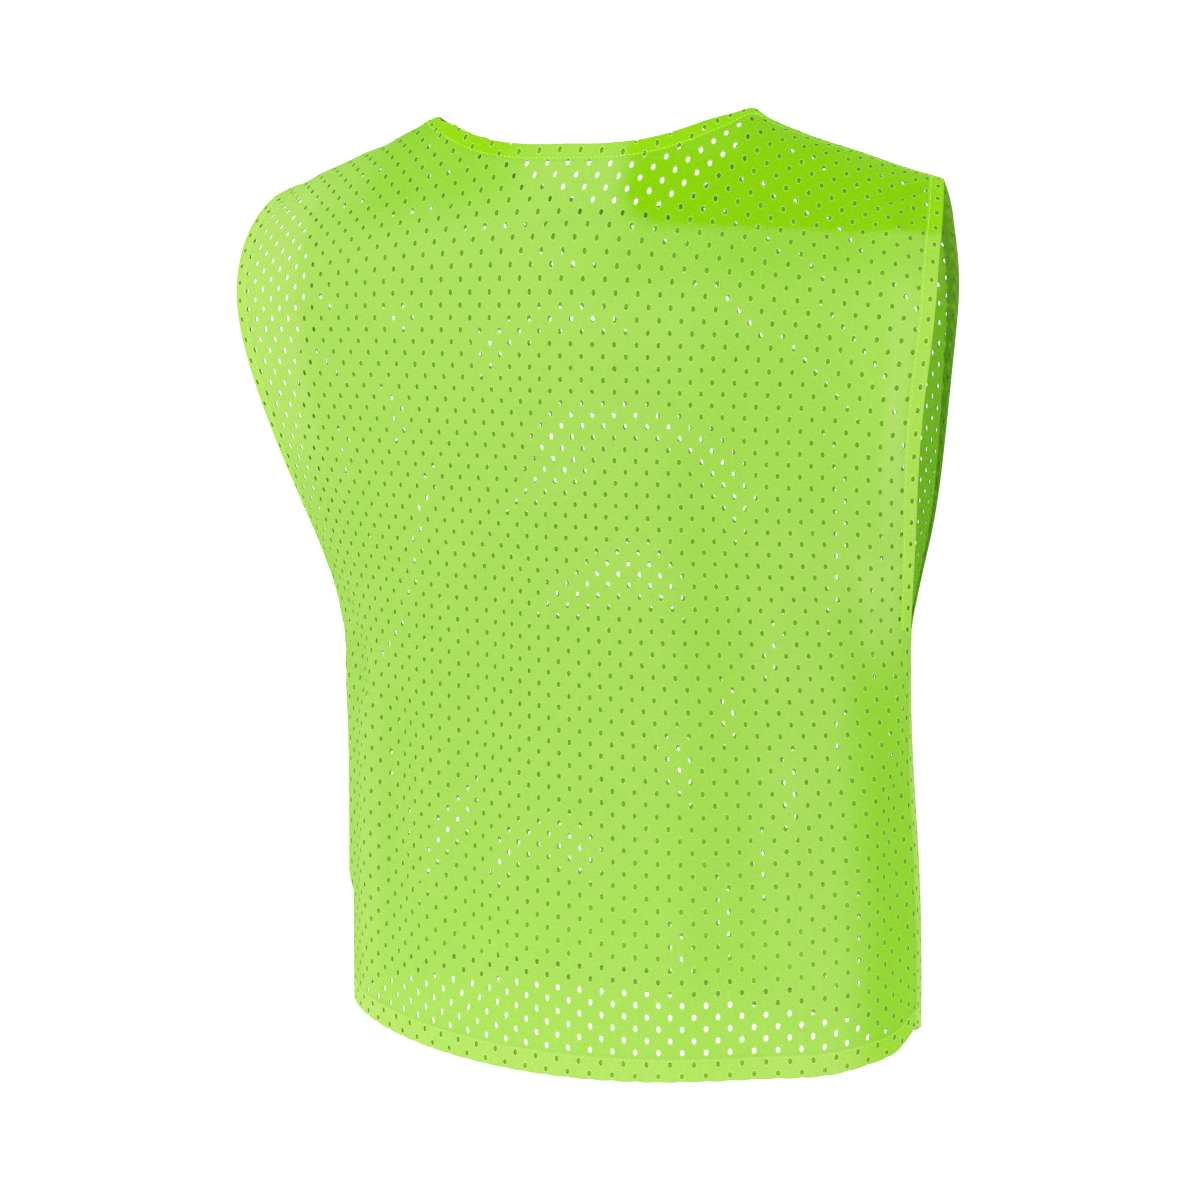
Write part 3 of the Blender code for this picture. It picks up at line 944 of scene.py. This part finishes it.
stitch = {
    "length": 0.0024,
    "space": 0.0006,
    "wide": 0.00055,
    "lift": 0.00005,
    "fromFree": 0.0015,  # from a hem's free edge to its row of stitches
    "fromShoulder": 0.0070,  # from the shoulder seam to its row, and that row's gaps at its ends
    "fromNeck": 0.002,
    "fromArmhole": 0.001,
    "rowSteps": 401,
    "shoulderSteps": 201,
    "sides": 8,
    "rings": 5,
}


def stitchShape():
    bpy.ops.object.select_all(action="DESELECT")
    bpy.ops.mesh.primitive_uv_sphere_add(
        segments=stitch["sides"], ring_count=stitch["rings"], radius=0.5,
        rotation=(0, math.pi / 2, 0),
    )
    model = bpy.context.object
    bpy.ops.object.transform_apply(rotation=True)
    points = np.array([vert.co[:] for vert in model.data.vertices])
    points *= (stitch["length"], stitch["wide"], stitch["wide"])
    faces = [list(face.vertices) for face in model.data.polygons]
    bpy.data.objects.remove(model)
    return points, faces


stitchPoints, stitchFaces = stitchShape()


def stitchRow(name, panel, rowX, rowUp):
    run = np.concatenate([[0], np.cumsum(np.hypot(np.diff(rowX), np.diff(rowUp)))])
    pitch = stitch["length"] + stitch["space"]
    starts = np.arange(stitch["space"], run[-1] - stitch["length"], pitch)
    ends = []
    for at in (starts, starts + stitch["length"]):
        ends.append((np.interp(at, run, rowX), np.interp(at, run, rowUp)))
    first, last = [placeOnPanel(panel, x, up, -stitch["lift"]) for x, up in ends]
    above = placeOnPanel(panel, *ends[0], -stitch["lift"] - cloth["thick"])
    along = last - first
    along /= np.linalg.norm(along, axis=1)[:, None]
    out = above - first
    out /= np.linalg.norm(out, axis=1)[:, None]
    aside = np.cross(out, along)
    middle = (first + last) / 2
    local = stitchPoints[None, :, :, None]
    points = middle[:, None] + local[:, :, 0] * along[:, None] + local[:, :, 1] * aside[:, None]
    points = (points + local[:, :, 2] * out[:, None]).reshape(-1, 3)
    count = len(stitchPoints)
    faces = [
        [i + step * count for i in face] for step in range(len(starts)) for face in stitchFaces
    ]
    data = bpy.data.meshes.new(name)
    data.from_pydata(points, [], faces)
    data.materials.append(thread)
    data.shade_smooth()
    piece = bpy.data.objects.new(name, data)
    bpy.context.scene.collection.objects.link(piece)
    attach(piece, "root")
    return piece


def stitchRows(panel):
    wide = cut["halfWidth"]
    high = panelHeight(panel)
    steps = np.linspace(0, 1, stitch["rowSteps"])
    inset = stitch["fromFree"]
    fromBottom = cut["bottomHem"] - inset
    rows = [stitchRow(
        panel.name + "BottomStitching", panel, (2 * steps - 1) * wide, steps * 0 + fromBottom
    )]
    for side, word in ((1, "Left"), (-1, "Right")):
        x = side * (wide - cut["armholeHem"] + inset)
        up = underarmUp(panel) + steps * (high - underarmUp(panel))
        rows.append(stitchRow(panel.name + word + "ArmholeStitching", panel, steps * 0 + x, up))
    fromNeck = cut["neckHem"] - inset
    edgeX = (2 * steps - 1) * cut["neckHalfWidth"] * cut["pastNeck"]
    slope = np.gradient(neckTop(panel, edgeX), edgeX)
    x = edgeX + fromNeck * slope / np.hypot(1, slope)
    up = neckTop(panel, edgeX) - fromNeck / np.hypot(1, slope)
    inPanel = up < high
    rows.append(stitchRow(panel.name + "NeckStitching", panel, x[inPanel], up[inPanel]))
    return rows


def shoulderRows():
    up = panelHeight(back) - stitch["fromShoulder"]
    steps = np.linspace(0, 1, stitch["shoulderSteps"])
    inner = cut["neckHalfWidth"] + stitch["fromNeck"]
    outer = cut["halfWidth"] - stitch["fromArmhole"]
    rows = []
    for side, word in ((1, "Left"), (-1, "Right")):
        x = side * (inner + steps * (outer - inner))
        rows.append(stitchRow("back" + word + "ShoulderStitching", back, x, steps * 0 + up))
    return rows


backRows = stitchRows(back) + shoulderRows()
frontRows = stitchRows(front)
print("stitches laid")

for panel, piece, others in (
    (back, backPanel, backHems + backRows),
    (front, frontPanel, frontHems + frontRows),
):
    length = panelHeight(panel)


# stage

studio = {
    "floorHeight": -1.10,
    "floorSize": 14,
    "floorRoughness": 0.9,
    "floorGloss": 0.1,
    "skyStrength": 1.29,
    "keyPower": 7,
    "keySize": 1.6,
    "keyAzimuth": 150,  # to the camera's left
    "keyDistance": 2.6,
    "keyHeight": -0.1,
    "aimHeight": -0.3,
}


def addStage():
    bpy.ops.mesh.primitive_plane_add(
        size=studio["floorSize"], location=(0, 0, studio["floorHeight"])
    )
    floor = bpy.context.object
    floor.name = "paleFloor"
    paint = bpy.data.materials.new("paleFloorPaint")
    paint.use_nodes = True
    shader = paint.node_tree.nodes["Principled BSDF"]
    shader.inputs["Base Color"].default_value = colour("#FFFFFF")
    shader.inputs["Roughness"].default_value = studio["floorRoughness"]
    shader.inputs["Specular IOR Level"].default_value = studio["floorGloss"]
    floor.data.materials.append(paint)
    world = bpy.data.worlds.new("studioSky")
    world.use_nodes = True
    sky = world.node_tree.nodes["Background"]
    sky.inputs["Color"].default_value = (1, 1, 1, 1)
    sky.inputs["Strength"].default_value = studio["skyStrength"]
    bpy.context.scene.world = world
    turn = math.radians(studio["keyAzimuth"])
    place = Vector((math.sin(turn), -math.cos(turn), 0)) * studio["keyDistance"]
    place.z = studio["keyHeight"]
    bpy.ops.object.light_add(type="AREA", location=place)
    key = bpy.context.object
    key.name = "keyLight"
    key.data.energy = studio["keyPower"]
    key.data.size = studio["keySize"]
    middle = Vector((0, 0, studio["aimHeight"]))
    key.rotation_euler = (middle - place).to_track_quat("-Z", "Y").to_euler()
    bpy.context.scene.view_settings.view_transform = "Standard"


addStage()
print("stage set")
